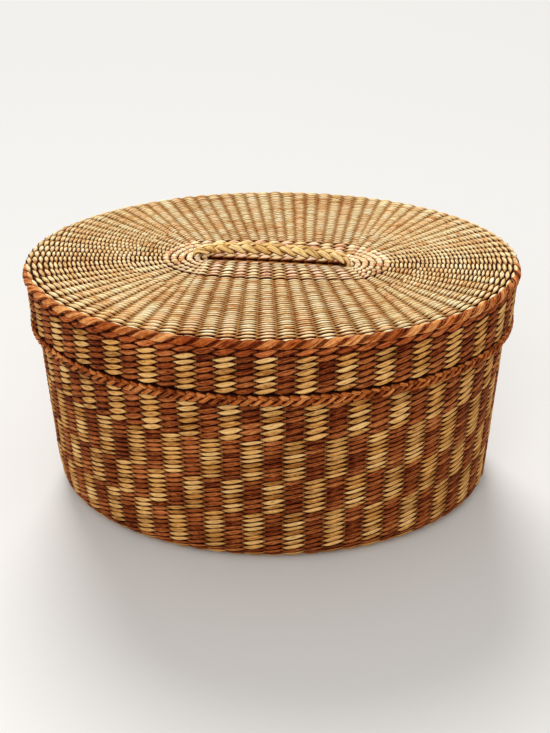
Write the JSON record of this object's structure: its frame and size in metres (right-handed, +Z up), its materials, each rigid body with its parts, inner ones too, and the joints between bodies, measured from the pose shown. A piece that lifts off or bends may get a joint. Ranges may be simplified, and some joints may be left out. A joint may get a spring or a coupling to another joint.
{
  "type": "lidded basket",
  "caption": "Oval twined rush basket with near-straight checkered walls, a lift-off lid with a rope-twisted edge, and a plaited carrying handle.",
  "frame": {"origin": "centre of the flat underside of the base, on the surface it stands on", "axes": "+X along the long axis of the oval, +Y to the back, +Z up through the lid"},
  "size_m": [0.3074, 0.2272, 0.1677],
  "materials": {
    "pale_rush": "dry pale straw, faintly silky along each strand",
    "checkered_rush": "alternating pale straw and red-brown dyed stitches, matt with a faint sheen",
    "brown_rush": "red-brown dyed rush, matt with a faint sheen",
    "ochre_rush": "orange-brown rush, polished a little by handling"
  },
  "bodies": {
    "basket": {"base_start_patch": "pale_rush", "base_weave": "pale_rush", "foot_courses": "brown_rush", "wall_band_lowest": "checkered_rush", "wall_band_lower": "checkered_rush", "wall_band_upper": "checkered_rush", "wall_band_highest": "checkered_rush", "neck_courses": "checkered_rush", "body_rim_plait": "ochre_rush"},
    "lid": {"lid_start_patch": "pale_rush", "lid_top_weave": "pale_rush", "lid_edge_rope": "ochre_rush", "lid_plain_course": "ochre_rush", "lid_striped_courses": "checkered_rush", "lid_rim_plait": "ochre_rush", "handle_end_left": "pale_rush", "handle_end_right": "pale_rush", "handle_strand_1": "pale_rush", "handle_strand_2": "pale_rush", "handle_strand_3": "pale_rush"}
  },
  "joints": [
    {"name": "lid_lift", "type": "slide", "parent": "basket", "child": "lid", "axis": [0, 0, 1], "range_m": [0, 0.06]}
  ]
}
